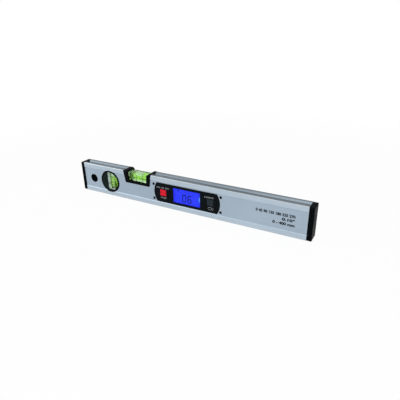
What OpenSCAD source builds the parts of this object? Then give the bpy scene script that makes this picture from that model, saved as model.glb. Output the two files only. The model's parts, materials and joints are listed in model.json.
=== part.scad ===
// Digital spirit level: a grooved aluminium box section with a level vial in its top edge,
// a round plumb vial window, a hanging hole and a display module with two keys.
// Millimetres, +Z up. The origin is the centre of the base face.
// The front face looks along -Y, and X runs along the level.

/* [Body extrusion] */
// Length over the two end caps
level_l = 400; // [380:10:600]
// Height from the base face to the top face
body_h = 50; // [48:1:60]
// Thickness over the rails
body_w = 20; // [19.5:0.5:26]
// Height of the rail along the top and along the base
rail_h = 8.5; // [5:0.5:9]
// Depth of the middle panel behind the rails
panel_step = 0.5; // [0.2:0.1:0.8]
// Height of the slope between a rail and the panel
rail_bevel = 0.8; // [0.4:0.1:2]
// Wall of the middle panel
wall_t = 1.5; // [1:0.1:1.7]
// Wall under the top face and over the base face
web_t = 2; // [1.4:0.1:3]
// Width of the long groove at its mouth
groove_w = 10; // [7:0.5:12]
// Width of the floor of the groove
groove_floor_w = 5; // [2:0.5:6]
// Depth of the groove
groove_d = 2; // [0.5:0.1:2.5]
// Chamfer along the four long edges
arris = 0.8; // [0.3:0.1:1.5]

/* [End caps] */
// Length of an end cap outside the extrusion
cap_l = 7.2; // [5:0.2:12]
// Set-back of a cap from the rail and base faces
cap_inset = 0.3; // [0:0.1:0.8]
// Chamfer round the outer face of a cap
cap_edge = 0.6; // [0.3:0.1:2.4]
// Length of the plug that enters the extrusion
plug_l = 9; // [6:1:11]
// Wall of the plug
plug_t = 1.6; // [1:0.1:2.2]
// Clearance round the plug
plug_gap = 0.15; // [0.05:0.05:0.3]
// Width of the slits that let the plug flex
plug_slit_w = 3; // [1:0.5:6]

/* [Hanging hole] */
// Distance of the sleeve's edge from the extrusion's left end
hang_edge = 12; // [11:0.5:16]
// Radius of the hole through the sleeve
hang_r = 6; // [4:0.1:7]
// Wall of the sleeve
hang_sleeve_t = 1.2; // [0.8:0.1:2]

/* [Plumb vial] */
// Space between the sleeve and the window ring
plumb_space = 9.2; // [4:0.1:16]
// Radius of the clear window
plumb_window_r = 15.8; // [14:0.1:16.6]
// Width of the black ring round the window
plumb_ring_t = 2.95; // [2.4:0.05:3.2]
// Depth of the vial block's ends in the ring at mid-width
plumb_seat = 0.2; // [0.1:0.05:0.6]
// Closed end of the plumb vial's bore
plumb_floor_t = 4; // [2:0.5:6]
// Length of the plug that closes the plumb vial's bore
plumb_plug_l = 3; // [2:0.1:3.5]
// Distance of each graduation line from the middle of the plumb vial
plumb_line_offset = 6.6; // [5:0.1:8]
// Travel of the plumb bubble down from its rest at the top
plumb_travel = 8; // [3:0.5:9]

/* [Top vial] */
// Space between the window ring and the holder at the top face
holder_space = 11; // [4:0.1:16]
// Depth of the vial block below the top face
vial_depth = 2.4; // [1:0.1:5]
// Thickness of the holder's floor under the vial
holder_floor_t = 4.1; // [3:0.1:5.5]
// Width of the opening between the bars at the vial's base
mouth_foot_w = 34.2; // [31:0.2:38]
// Widening of the opening up to the top face, on each side
mouth_flare = 1.6; // [0:0.1:2.4]
// Width of each bar at the top face
bar_top_w = 8.3; // [7:0.1:11]
// Width of each bar at the holder's foot
bar_foot_w = 6.8; // [6:0.1:8]
// Corner cut at the foot of the holder
holder_foot_cut = 1.5; // [0.5:0.1:3]
// Corner cut at the top of each bar, on the vial's side
mouth_cut = 2.5; // [1:0.1:4]
// Set-back of the holder from the rail faces
holder_inset = 0.1; // [0:0.05:0.4]
// Depth of the two locating ribs under the holder's floor
holder_rib_h = 3; // [1.5:0.5:6]
// Thickness of the locating ribs
holder_rib_t = 1.6; // [1:0.1:2.4]
// Clearance of the locating ribs in the extrusion
holder_rib_gap = 0.15; // [0.05:0.05:0.3]
// Height of the top vial block
top_block_h = 13.6; // [12.4:0.1:14]
// Depth of the vial block's ends in the bars
top_seat = 3.3; // [2:0.1:4]
// Closed end of the top vial's bore
top_end_t = 4.8; // [4:0.1:5.5]
// Length of the plug that closes the top vial's bore
top_plug_l = 4.8; // [4:0.1:5.5]
// Length of the top bubble
bubble_l = 16.4; // [12:0.2:17]
// Travel of the top bubble to either side
top_travel = 6.5; // [3:0.1:6.8]
// Distance of each graduation line from the middle of the top vial
top_line_offset = 9.2; // [6:0.1:12]

/* [Vial bores] */
// Width of both vial blocks from front to back
vial_block_w = 14; // [12.4:0.2:15]
// Radius of both bores at mid-length
bore_r = 5; // [4:0.1:5.2]
// Narrowing of a barrel-shaped bore at its ends
bore_crown = 0.25; // [0.1:0.05:0.4]
// Clearance between a bubble and the bore or the liquid round it
bubble_gap = 0.3; // [0.2:0.05:0.4]
// Height of the top bubble's flat side above the bore's axis
bubble_floor = 2.2; // [1.5:0.1:3]
// Radius of the plumb bubble
plumb_bubble_r = 2.9; // [2:0.1:3.2]
// Straight length of the plumb bubble between its round ends
plumb_bubble_l = 1.2; // [0.4:0.1:3]
// Width of a graduation line
line_w = 0.6; // [0.3:0.1:1]
// Thickness of a graduation line
line_t = 0.1; // [0.05:0.05:0.2]

/* [Display bezel] */
// Space between the vial holder and the module case behind the bezel
module_space = 2.2; // [1:0.1:40]
// Width of the bezel between its corners
bezel_w = 104.6; // [102:0.2:110]
// Height of the bezel
bezel_h = 31.5; // [31:0.1:32.5]
// Bulge of each curved bezel end
bezel_bulge = 5; // [3:0.1:6]
// Height of the panel rails over the bezel's front face
bezel_inset = 0.2; // [0.1:0.05:0.4]
// Clearance round the bezel
bezel_gap = 0.15; // [0.05:0.05:0.3]
// Wall of the skirt behind the bezel
skirt_t = 1.2; // [0.8:0.1:1.2]
// Offset of the display window from the bezel's middle
window_shift = 1; // [0:0.1:2]
// Width of the display window
window_w = 46.6; // [44:0.1:49]
// Height of the frame above and below the window
frame_h = 4.05; // [3.4:0.05:5]
// Depth of the frame in front of the lens
window_lip = 0.3; // [0.2:0.1:0.6]
// Border of lens and glass hidden behind the frame
glass_border = 1.1; // [0.8:0.1:1.2]

/* [Keys] */
// Distance of each key's middle from the bezel's corners
key_from_corner = 11.3; // [10:0.1:12]
// Width of the power key
power_key_w = 11; // [9:0.1:11.4]
// Height of the power key
power_key_h = 10.5; // [9:0.1:12]
// Width of the light key
light_key_w = 10.6; // [9:0.1:11.4]
// Height of the light key
light_key_h = 10.6; // [9:0.1:12]
// Corner radius of both keys
key_corner = 1.6; // [0.5:0.1:3]
// Chamfer round the front face of both keys
key_edge = 0.5; // [0.2:0.1:0.8]
// Clearance round a key in the bezel
key_gap = 0.15; // [0.1:0.05:0.3]
// Travel of a key
key_travel = 0.6; // [0.3:0.1:0.6]
// Width of the flange that keeps a key behind the bezel
key_flange_w = 0.6; // [0.4:0.1:0.8]
// Thickness of the flange
key_flange_t = 0.6; // [0.4:0.1:0.6]
// Depth of the bezel in front of the flange
key_lip = 0.8; // [0.6:0.1:1]
// Radius of the plunger behind each key
plunger_r = 1.7; // [1.2:0.1:2]
// Running clearance of a plunger in its switch
plunger_gap = 0.08; // [0.04:0.01:0.1]
// Side of a square switch body
switch_w = 6; // [5.4:0.2:7]

/* [Electronics] */
// Thickness of the display lens
lens_t = 0.8; // [0.6:0.1:1]
// Thickness of the liquid crystal glass
lcd_t = 1.3; // [1.1:0.1:1.5]
// Thickness of the light guide behind the glass
backlight_t = 1; // [0.8:0.1:1.4]
// Thickness of the circuit board
board_t = 0.8; // [0.6:0.1:1.2]
// Space between the circuit board and the screw bosses
board_end = 1.7; // [0.5:0.1:3]
// Clearance above and below the circuit board
board_gap = 0.2; // [0.1:0.05:0.4]
// Side of the square tilt sensor
sensor_w = 5; // [4:0.5:6]
// Side of the square control chip
chip_w = 5; // [4:0.5:6]
// Radius of the buzzer
buzzer_r = 2.5; // [2:0.1:3]
// Thickness of the sensor, the chip and the buzzer
part_t = 1.3; // [1:0.1:1.4]

/* [Module case and screws] */
// Clearance between the module case and the inside of the extrusion
case_gap = 0.1; // [0.05:0.05:0.2]
// Width of the case's rim that the bezel rests on
bezel_seat = 0.85; // [0.5:0.05:1]
// Upper and lower wall of the module case
case_rim = 3.1; // [2:0.1:4]
// End walls of the module case
case_t = 1.5; // [1.2:0.1:1.8]
// Distance of each screw from the bezel's corners
screw_from_corner = 5.9; // [5:0.1:8]
// Height of each screw above and below the level's middle
screw_dz = 12; // [10:0.1:13]
// Radius of a screw head
screw_head_r = 2.2; // [1.5:0.1:2.3]
// Radius of a screw shank
screw_r = 0.9; // [0.7:0.05:1.1]
// Length of a screw
screw_l = 7; // [5:0.5:9]
// Wall of the boss round a screw
boss_t = 1.6; // [1.5:0.1:1.9]
// Thickness of the stiffening ribs in the case's rear hollows
case_rib_t = 1; // [0.8:0.1:1.6]
// Number of stiffening ribs in each rear hollow
case_rib_count = 2; // [1:1:4]

/* [Battery bay] */
// Radius of a battery cell
cell_r = 5.25; // [4.8:0.05:5.3]
// Length of a battery cell with its nub
cell_l = 44.5; // [40:0.5:46]
// Radius of the nub
nub_r = 1.9; // [1.5:0.1:2.5]
// Length of the nub
nub_l = 0.9; // [0.6:0.1:1.2]
// Gap between the two cells
cell_gap = 0.2; // [0.1:0.05:0.5]
// Room above and below the pair of cells
bay_room = 1.5; // [1.4:0.1:2]
// Length of a compressed battery spring
spring_l = 4; // [3.4:0.1:5]
// Radius of the spring wire
spring_wire_r = 0.3; // [0.2:0.05:0.35]
// Radius of a spring at its wide end
spring_wide_r = 3.4; // [2.8:0.1:4]
// Radius of a spring at the cell
spring_cell_r = 2.2; // [1.8:0.1:2.6]
// Turns of a spring
spring_turns = 2.5; // [2:0.5:2.5]
// Thickness of a contact plate
contact_t = 0.4; // [0.3:0.05:0.6]
// Side of a contact plate
contact_w = 9; // [7:0.5:9.6]
// Width of the tab that joins a contact plate to the circuit board
tab_w = 3; // [2:0.5:5]
// Overlap of the door on the case round the bay
door_ledge = 1.2; // [0.8:0.1:1.6]
// Clearance round the door
door_gap = 0.2; // [0.1:0.05:0.4]
// Height of the grip ribs on the door
grip_h = 0.3; // [0.1:0.05:0.4]
// Number of grip ribs
grip_count = 4; // [2:1:6]
// Thickness of the door's snap arms
snap_t = 0.8; // [0.6:0.05:0.9]
// Length of the door's snap arms
snap_l = 3.6; // [2:0.1:4]
// Width of the door's snap arms
snap_w = 8; // [5:0.5:12]

/* [Hidden] */
$fn = 72;

// Overrun of a cutting shape past the face that it opens
cut = 1;
// Gap between neighbours that are laid together
fit = 0.1;
// Gap between a liquid and the bore round it
film = 0.05;
// Gap between the cells and the door over them
door_clear = 0.3;

// Places along the level
profile_l = level_l - 2 * cap_l;
left_end = -profile_l / 2;
sleeve_r = hang_r + hang_sleeve_t;
plumb_ring_r = plumb_window_r + plumb_ring_t;
holder_top_half = mouth_foot_w / 2 + mouth_flare + bar_top_w;
holder_foot_half = mouth_foot_w / 2 + bar_foot_w;
key_dx = bezel_w / 2 - key_from_corner;
screw_dx = bezel_w / 2 + screw_from_corner;
boss_r = screw_r + boss_t;
case_l = 2 * (screw_dx + boss_r);
hang_x = left_end + hang_edge + sleeve_r;
plumb_x = hang_x + sleeve_r + plumb_space + plumb_ring_r;
top_x = plumb_x + plumb_ring_r + holder_space + holder_top_half;
display_x = top_x + holder_top_half + module_space + case_l / 2;
window_x = display_x + window_shift;
mid_z = body_h / 2;

// Depths of the extrusion's faces from its middle plane
rail_y = body_w / 2;
panel_y = rail_y - panel_step;
cavity_y = panel_y - wall_t;
case_y = cavity_y - case_gap;

// Vials
holder_y = rail_y - holder_inset;
top_block_z = body_h - vial_depth - top_block_h;
holder_z = top_block_z - holder_floor_t;
top_bore_z = top_block_z + top_block_h / 2;
top_block_half = mouth_foot_w / 2 + top_seat;
top_bore_l = 2 * top_block_half - top_end_t - top_plug_l;
top_bore_left = top_plug_l - top_block_half;
top_bore_x = top_bore_left + top_bore_l / 2;
plumb_block_h = 2 * (plumb_window_r + plumb_seat);
plumb_bore_l = plumb_block_h - plumb_plug_l - plumb_floor_t;
plumb_bore_bottom = -plumb_block_h / 2 + plumb_floor_t;
plumb_bubble_top = plumb_bore_bottom + plumb_bore_l - bubble_gap;
plumb_channel_r = plumb_bubble_r + bubble_gap;
bubble_bore_r = bore_r - bore_crown - bubble_gap + film;
bubble_ball_r = norm([bubble_l / 2, bubble_floor]);

// Stack behind the bezel, from front to back
bezel_front = -rail_y + bezel_inset;
bezel_back = -case_y;
lens_front = bezel_front + window_lip;
lcd_front = lens_front + lens_t + fit;
backlight_front = lcd_front + lcd_t;
board_front = backlight_front + backlight_t;
board_back = board_front + board_t;
window_h = bezel_h - 2 * frame_h;
tray_h = bezel_h - 2 * bezel_seat;
case_h = tray_h + 2 * case_rim;
board_l = 2 * (screw_dx - boss_r - board_end);
board_h = tray_h - 2 * board_gap;
glass_w = window_w + 2 * glass_border;
glass_h = window_h + 2 * glass_border;
flange_front = bezel_front + key_lip + fit;
flange_back = flange_front + key_flange_t;
switch_front = flange_back + key_travel + fit;
switch_base = 0.2;
plunger_end = board_front - switch_base - fit - key_travel;
skirt_l = bezel_w - 2 * skirt_t;
skirt_h = tray_h - 4 * fit;
skirt_back = board_front - fit;

// Module case
tray_l = case_l - 2 * case_t;
screw_tip = -panel_y + screw_l;

// Battery bay
cell_dz = cell_r + cell_gap / 2;
cell_y = cavity_y - door_clear - cell_r;
bay_floor = cell_y - cell_r - fit;
bay_h = 4 * cell_r + cell_gap + 2 * bay_room;
bay_l = cell_l + spring_l + 2 * contact_t + fit;
door_w = bay_l + 2 * door_ledge;
door_h = bay_h + 2 * door_ledge;
snap_z = bay_h / 2 - snap_t - fit;

// Least clear gap between neighbouring turns of a spring
coil_pitch = (spring_l - 2 * spring_wire_r - 2 * fit) / spring_turns;
coil_step = (spring_wide_r - spring_cell_r) / spring_turns;
echo(spring_gap = norm([coil_pitch, coil_step]) - 2 * spring_wire_r);

// Block between two corners
module block(low, high) {
    translate(low)
        cube(high - low);
}

// Block of a given width and height about the axis, from depth y0 to y1
module plate_y(w, h, y0, y1) {
    block([-w / 2, y0, -h / 2], [w / 2, y1, h / 2]);
}

// Square plate of a given thickness about the axis along the level
module plate_x(t, w) {
    block([-t / 2, -w / 2, -w / 2], [t / 2, w / 2, w / 2]);
}

// Outline in depth and height, drawn out along the level
module along_x(x0, x1) {
    translate([x0, 0, 0])
        rotate([90, 0, 90])
            linear_extrude(height = x1 - x0)
                children();
}

// Outline in length and height, drawn out through the level
module along_y(y0, y1) {
    translate([0, y1, 0])
        rotate([90, 0, 0])
            linear_extrude(height = y1 - y0)
                children();
}

module rod_x(r, x0, x1) {
    translate([x0, 0, 0])
        rotate([0, 90, 0])
            cylinder(r = r, h = x1 - x0);
}

module rod_y(r, y0, y1) {
    translate([0, y1, 0])
        rotate([90, 0, 0])
            cylinder(r = r, h = y1 - y0);
}

// Rectangle with round corners
module round_rect(w, h, r) {
    square([w - 2 * r, h], center = true);
    square([w, h - 2 * r], center = true);
    for (x = [-1, 1], y = [-1, 1])
        translate([x * (w / 2 - r), y * (h / 2 - r)])
            circle(r = r);
}

// Points of a half outline with their mirror image, which closes it
function both_sides(half) = concat(
    half,
    [for (i = [len(half) - 1 : -1 : 0]) [-half[i].x, half[i].y]]
);

// Outer outline of the extrusion: two rails, a panel between them, a groove in each edge
function profile_half() = [
    [groove_floor_w / 2, groove_d],
    [groove_w / 2, 0],
    [rail_y - arris, 0],
    [rail_y, arris],
    [rail_y, rail_h - rail_bevel],
    [panel_y, rail_h],
    [panel_y, body_h - rail_h],
    [rail_y, body_h - rail_h + rail_bevel],
    [rail_y, body_h - arris],
    [rail_y - arris, body_h],
    [groove_w / 2, body_h],
    [groove_floor_w / 2, body_h - groove_d]
];

// Hollow of the extrusion, drawn in by a gap
function cavity_half(gap) = [
    [groove_floor_w / 2 + gap, groove_d + web_t + gap],
    [groove_w / 2 + web_t / 2 + gap, web_t + gap],
    [cavity_y - gap, web_t + gap],
    [cavity_y - gap, body_h - web_t - gap],
    [groove_w / 2 + web_t / 2 + gap, body_h - web_t - gap],
    [groove_floor_w / 2 + gap, body_h - groove_d - web_t - gap]
];

// Outline of the bezel: straight long edges and an arc at each end
module bezel_outline(gap) {
    w = bezel_w + 2 * gap;
    h = bezel_h + 2 * gap;
    arc_r = (h * h / 4 + bezel_bulge * bezel_bulge) / (2 * bezel_bulge);
    square([w, h], center = true);
    for (side = [-1, 1])
        intersection() {
            translate([side * (w / 2 + bezel_bulge - arc_r), 0])
                circle(r = arc_r, $fn = 180);
            translate([side * (w / 2 + bezel_bulge / 2), 0])
                square([bezel_bulge + 2 * fit, h], center = true);
        }
}

// Front outline of the top vial holder, wider by a gap on both sides
function holder_half(gap, top) = [
    [holder_foot_half + gap - holder_foot_cut, holder_z],
    [holder_foot_half + gap, holder_z + holder_foot_cut],
    [holder_top_half + gap, body_h],
    [holder_top_half + gap, top]
];

// Opening between the holder's bars
function mouth_half() = [
    [mouth_foot_w / 2, top_block_z],
    [mouth_foot_w / 2 + mouth_flare, body_h - mouth_cut],
    [mouth_foot_w / 2 + mouth_flare + mouth_cut, body_h],
    [mouth_foot_w / 2 + mouth_flare + mouth_cut, body_h + cut]
];

// Barrel-shaped bore along Z about its middle, drawn in by a gap
module barrel(length, gap) {
    half = length / 2;
    steps = 8;
    rotate_extrude()
        polygon(concat(
            [[0, -half + gap], [0, half - gap]],
            [for (i = [steps : -1 : -steps])
                [bore_r - gap - bore_crown * pow(i / steps, 2), (half - gap) * i / steps]]
        ));
}

// Copies at the places of the four bezel screws
module at_screws() {
    for (side = [-1, 1], level = [-1, 1])
        translate([display_x + side * screw_dx, 0, mid_z + level * screw_dz])
            children();
}

// Copies at the two cells; the upper one is turned end for end
module at_cells() {
    for (side = [-1, 1])
        translate([display_x, cell_y, mid_z + side * cell_dz])
            mirror([side > 0 ? 1 : 0, 0, 0])
                children();
}

// Copies at the four contact plates, one at each end of each cell
module at_contacts() {
    at_cells()
        for (side = [-1, 1])
            translate([side * (bay_l - contact_t) / 2, 0, 0])
                children();
}

// Tab of a contact plate, wider by a gap on all sides, down to a given depth
module contact_tab(gap, depth) {
    block([-contact_t / 2 - gap, depth - cell_y, -tab_w / 2 - gap],
          [contact_t / 2 + gap, film - contact_w / 2, tab_w / 2 + gap]);
}

// Screw with a countersunk head, its face at the panel
module screw(gap, length) {
    head_t = screw_head_r - screw_r;
    translate([0, -panel_y + head_t, 0])
        rotate([90, 0, 0])
            cylinder(r1 = screw_r + gap, r2 = screw_head_r + gap, h = head_t);
    rod_y(screw_r + gap, -panel_y + head_t - film, -panel_y + length);
}

module body_profile() {
    color("#c3ccd6")
    difference() {
        along_x(-profile_l / 2, profile_l / 2)
            difference() {
                polygon(both_sides(profile_half()));
                polygon(both_sides(cavity_half(0)));
            }
        translate([top_x, 0, 0])
            along_y(-rail_y - cut, rail_y + cut)
                polygon(both_sides(holder_half(fit, body_h + cut)));
        translate([plumb_x, 0, mid_z])
            rod_y(plumb_ring_r + fit, -rail_y - cut, rail_y + cut);
        translate([hang_x, 0, mid_z])
            rod_y(sleeve_r + film, -rail_y - cut, rail_y + cut);
        translate([display_x, 0, mid_z])
            along_y(-rail_y - cut, 0)
                bezel_outline(bezel_gap);
        translate([display_x, 0, mid_z])
            plate_y(door_w + 2 * door_gap, door_h + 2 * door_gap, 0, rail_y + cut);
        at_screws()
            screw(film, wall_t + cut);
    }
}

// End cap for the right end; the left one is its mirror image
module end_cap() {
    inner = profile_l / 2;
    outer = level_l / 2;
    side_y = rail_y - cap_inset;
    low = cap_inset;
    high = body_h - cap_inset;
    plug_y = cavity_y - plug_gap - plug_t;
    plug_z = mid_z - groove_d - web_t - plug_gap - plug_t;
    intersection() {
        along_x(inner, outer)
            polygon(both_sides([
                [side_y - cap_edge, low], [side_y, low + cap_edge],
                [side_y, high - cap_edge], [side_y - cap_edge, high]
            ]));
        along_y(-rail_y, rail_y)
            polygon([
                [inner, low], [outer - cap_edge, low], [outer, low + cap_edge],
                [outer, high - cap_edge], [outer - cap_edge, high], [inner, high]
            ]);
        linear_extrude(height = body_h)
            polygon([
                [inner, -side_y], [outer - cap_edge, -side_y], [outer, -side_y + cap_edge],
                [outer, side_y - cap_edge], [outer - cap_edge, side_y], [inner, side_y]
            ]);
    }
    difference() {
        along_x(inner - plug_l, inner)
            difference() {
                polygon(both_sides(cavity_half(plug_gap)));
                translate([0, mid_z])
                    square([2 * plug_y, 2 * plug_z], center = true);
            }
        block([inner - plug_l - cut, -rail_y, mid_z - plug_slit_w / 2],
              [inner - plug_l / 4, rail_y, mid_z + plug_slit_w / 2]);
        block([inner - plug_l - cut, -plug_slit_w / 2, 0],
              [inner - plug_l / 4, plug_slit_w / 2, body_h]);
    }
}

module end_cap_left() {
    color("#17191c")
    mirror([1, 0, 0])
        end_cap();
}

module end_cap_right() {
    color("#17191c")
    end_cap();
}

module hang_hole_sleeve() {
    color("#0c0d0f")
    translate([hang_x, 0, mid_z])
        difference() {
            rod_y(sleeve_r, -panel_y, panel_y);
            rod_y(hang_r, -panel_y - cut, panel_y + cut);
        }
}

// Frame with two bars that grip the vial's ends, and two ribs that locate it in the extrusion
module top_vial_holder() {
    rib_x = holder_foot_half - holder_foot_cut;
    rib_y = cavity_y - holder_rib_gap;
    color("#141518")
    translate([top_x, 0, 0])
        difference() {
            union() {
                along_y(-holder_y, holder_y)
                    polygon(both_sides(holder_half(0, body_h)));
                for (side = [-1, 1])
                    mirror([0, side > 0 ? 0 : 1, 0])
                        block([-rib_x, rib_y - holder_rib_t, holder_z - holder_rib_h],
                              [rib_x, rib_y, holder_z + film]);
            }
            along_y(-holder_y - cut, holder_y + cut)
                polygon(both_sides(mouth_half()));
            block([-top_block_half - fit, -vial_block_w / 2 - fit, top_block_z],
                  [top_block_half + fit, vial_block_w / 2 + fit, top_block_z + top_block_h + fit]);
        }
}

module top_vial_block() {
    color("#9be03a")
    translate([top_x, 0, 0])
        difference() {
            block([-top_block_half, -vial_block_w / 2, top_block_z],
                  [top_block_half, vial_block_w / 2, top_block_z + top_block_h]);
            translate([top_bore_x, 0, top_bore_z])
                rotate([0, 90, 0])
                    barrel(top_bore_l, 0);
            translate([0, 0, top_bore_z])
                rod_x(bore_r - bore_crown, -top_block_half - cut, top_bore_left + film);
        }
}

// The slot along the top leaves the bubble room to travel
module top_vial_liquid() {
    channel = top_travel + bubble_l / 2 + bubble_gap;
    color("#7ed321")
    translate([top_x + top_bore_x, 0, top_bore_z])
        difference() {
            rotate([0, 90, 0])
                barrel(top_bore_l, film);
            block([-channel, -bore_r, bubble_floor - bubble_gap], [channel, bore_r, bore_r]);
        }
}

module top_vial_plug() {
    color("#d8ead0")
    translate([top_x, 0, top_bore_z])
        rod_x(bore_r - bore_crown - film, -top_block_half, top_bore_left);
}

module top_vial_lines() {
    color("#15171a")
    translate([top_x + top_bore_x, 0, 0])
        for (side = [-1, 1])
            translate([side * top_line_offset, 0, 0])
                difference() {
                    block([-line_w / 2, -vial_block_w / 2 - line_t, top_block_z + fit],
                          [line_w / 2, vial_block_w / 2 + line_t, top_block_z + top_block_h + line_t]);
                    block([-line_w, -vial_block_w / 2, 0],
                          [line_w, vial_block_w / 2, top_block_z + top_block_h]);
                }
}

// Lens of air: a ball trimmed by the bore and flat where it meets the liquid
module top_vial_bubble() {
    color("#eaffd8")
    translate([top_x + top_bore_x, 0, top_bore_z])
        intersection() {
            rod_x(bubble_bore_r, -bubble_ball_r, bubble_ball_r);
            difference() {
                sphere(r = bubble_ball_r);
                block([-bubble_l, -bubble_l, -bubble_l], [bubble_l, bubble_l, bubble_floor]);
            }
        }
}

// Half of the round window housing, from its outer face to the level's middle plane
module plumb_housing() {
    half_w = vial_block_w / 2 + fit;
    half_h = plumb_block_h / 2 + fit;
    difference() {
        rod_y(plumb_ring_r, -rail_y, 0);
        rod_y(plumb_window_r, -rail_y - cut, cut);
        block([-half_w, -half_w, -half_h], [half_w, cut, half_h]);
    }
}

module plumb_housing_front() {
    color("#141518")
    translate([plumb_x, 0, mid_z])
        plumb_housing();
}

module plumb_housing_back() {
    color("#141518")
    translate([plumb_x, 0, mid_z])
        mirror([0, 1, 0])
            plumb_housing();
}

module plumb_vial_block() {
    color("#a5d93f")
    translate([plumb_x, 0, mid_z])
        difference() {
            plate_y(vial_block_w, plumb_block_h, -vial_block_w / 2, vial_block_w / 2);
            translate([0, 0, plumb_bore_bottom + plumb_bore_l / 2])
                barrel(plumb_bore_l, 0);
            translate([0, 0, plumb_bore_bottom + plumb_bore_l - film])
                cylinder(r = bore_r - bore_crown, h = plumb_block_h);
        }
}

// The round channel from the top leaves the bubble room to travel
module plumb_vial_liquid() {
    channel = plumb_travel + plumb_bubble_l + 2 * plumb_bubble_r + 2 * bubble_gap;
    color("#8ccc2e")
    translate([plumb_x, 0, mid_z + plumb_bore_bottom])
        difference() {
            translate([0, 0, plumb_bore_l / 2])
                barrel(plumb_bore_l, film);
            translate([0, 0, plumb_bore_l - channel])
                cylinder(r = plumb_channel_r, h = channel + cut);
        }
}

module plumb_vial_plug() {
    color("#d8ead0")
    translate([plumb_x, 0, mid_z + plumb_block_h / 2 - plumb_plug_l])
        cylinder(r = bore_r - bore_crown - film, h = plumb_plug_l);
}

module plumb_vial_lines() {
    mid = plumb_bore_bottom + plumb_bore_l / 2;
    side_w = vial_block_w / 2;
    color("#15171a")
    translate([plumb_x, 0, mid_z + mid])
        for (side = [-1, 1])
            translate([0, 0, side * plumb_line_offset])
                difference() {
                    block([-side_w - line_t, -side_w - line_t, -line_w / 2],
                          [side_w + line_t, side_w + line_t, line_w / 2]);
                    block([-side_w, -side_w, -line_w], [side_w, side_w, line_w]);
                }
}

module plumb_vial_bubble() {
    color("#eaffd8")
    translate([plumb_x, 0, mid_z + plumb_bubble_top - plumb_bubble_r])
        union() {
            sphere(r = plumb_bubble_r);
            translate([0, 0, -plumb_bubble_l])
                cylinder(r = plumb_bubble_r, h = plumb_bubble_l);
            translate([0, 0, -plumb_bubble_l])
                sphere(r = plumb_bubble_r);
        }
}

// Hole for a key with the wider room for its flange behind it
module key_hole(w, h) {
    flange = 2 * (key_flange_w + fit);
    along_y(bezel_front - cut, bezel_back + cut)
        round_rect(w + 2 * key_gap, h + 2 * key_gap, key_corner + key_gap);
    plate_y(w + flange, h + flange, bezel_front + key_lip, bezel_back + cut);
}

module front_bezel() {
    color("#131416")
    difference() {
        union() {
            translate([display_x, 0, mid_z])
                along_y(bezel_front, bezel_back)
                    bezel_outline(0);
            translate([display_x, 0, mid_z])
                plate_y(skirt_l, skirt_h, bezel_back, skirt_back);
        }
        translate([display_x, 0, mid_z])
            plate_y(skirt_l - 2 * skirt_t, skirt_h - 2 * skirt_t, bezel_back, skirt_back + cut);
        translate([window_x, 0, mid_z]) {
            plate_y(window_w, window_h, bezel_front - cut, bezel_back + cut);
            plate_y(glass_w + 2 * fit, glass_h + 2 * fit, lens_front, skirt_back + cut);
        }
        translate([display_x - key_dx, 0, mid_z])
            key_hole(power_key_w, power_key_h);
        translate([display_x + key_dx, 0, mid_z])
            key_hole(light_key_w, light_key_h);
    }
}

module display_lens() {
    color("#5a62c8", 0.4)
    translate([window_x, 0, mid_z])
        plate_y(glass_w, glass_h, lens_front, lens_front + lens_t);
}

module lcd_glass() {
    color("#2b39ff")
    translate([window_x, 0, mid_z])
        plate_y(glass_w, glass_h, lcd_front, backlight_front);
}

module backlight_plate() {
    color("#e6ecff")
    translate([window_x, 0, mid_z])
        plate_y(glass_w, glass_h, backlight_front, board_front);
}

module circuit_board() {
    color("#1d6b3a")
    translate([display_x, 0, mid_z])
        plate_y(board_l, board_h, board_front, board_back);
}

module switch_bodies() {
    color("#3a3d42")
    for (side = [-1, 1])
        translate([display_x + side * key_dx, 0, mid_z])
            difference() {
                plate_y(switch_w, switch_w, switch_front, board_front);
                rod_y(plunger_r + plunger_gap, switch_front - cut, board_front - switch_base);
            }
}

// Half outline of a key from the front, chamfered at its face and left wide behind
function key_half(w) = [
    [w / 2 - key_edge, -rail_y],
    [w / 2 + cut, -rail_y + key_edge + cut],
    [w / 2 + cut, flange_front]
];

// Key cap with a chamfered face and the flange that keeps it in the bezel
module key_cap(w, h) {
    flange = 2 * key_flange_w;
    intersection() {
        along_y(-rail_y, flange_front)
            round_rect(w, h, key_corner);
        linear_extrude(height = 2 * h, center = true)
            polygon(both_sides(key_half(w)));
        rotate([0, 90, 0])
            linear_extrude(height = 2 * w, center = true)
                polygon(both_sides(key_half(h)));
    }
    plate_y(w + flange, h + flange, flange_front, flange_back);
}

module power_button() {
    color("#d81e33")
    translate([display_x - key_dx, 0, mid_z])
        key_cap(power_key_w, power_key_h);
}

module light_button() {
    color("#34393d")
    translate([display_x + key_dx, 0, mid_z])
        key_cap(light_key_w, light_key_h);
}

module power_plunger() {
    color("#7d7f83")
    translate([display_x - key_dx, 0, mid_z])
        rod_y(plunger_r, flange_back, plunger_end);
}

module light_plunger() {
    color("#7d7f83")
    translate([display_x + key_dx, 0, mid_z])
        rod_y(plunger_r, flange_back, plunger_end);
}

// Height of the middle of the board's free strip over a key of a given height
function over_key(h) = (h / 2 + key_flange_w + skirt_h / 2 - skirt_t) / 2;

module tilt_sensor() {
    color("#2a2c30")
    translate([display_x - key_dx, 0, mid_z - over_key(power_key_h)])
        plate_y(sensor_w, sensor_w, board_front - part_t, board_front);
}

module control_chip() {
    color("#2a2c30")
    translate([display_x - key_dx, 0, mid_z + over_key(power_key_h)])
        plate_y(chip_w, chip_w, board_front - part_t, board_front);
}

module buzzer() {
    color("#202226")
    translate([display_x + key_dx, 0, mid_z + over_key(light_key_h)])
        rod_y(buzzer_r, board_front - part_t, board_front);
}

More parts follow.
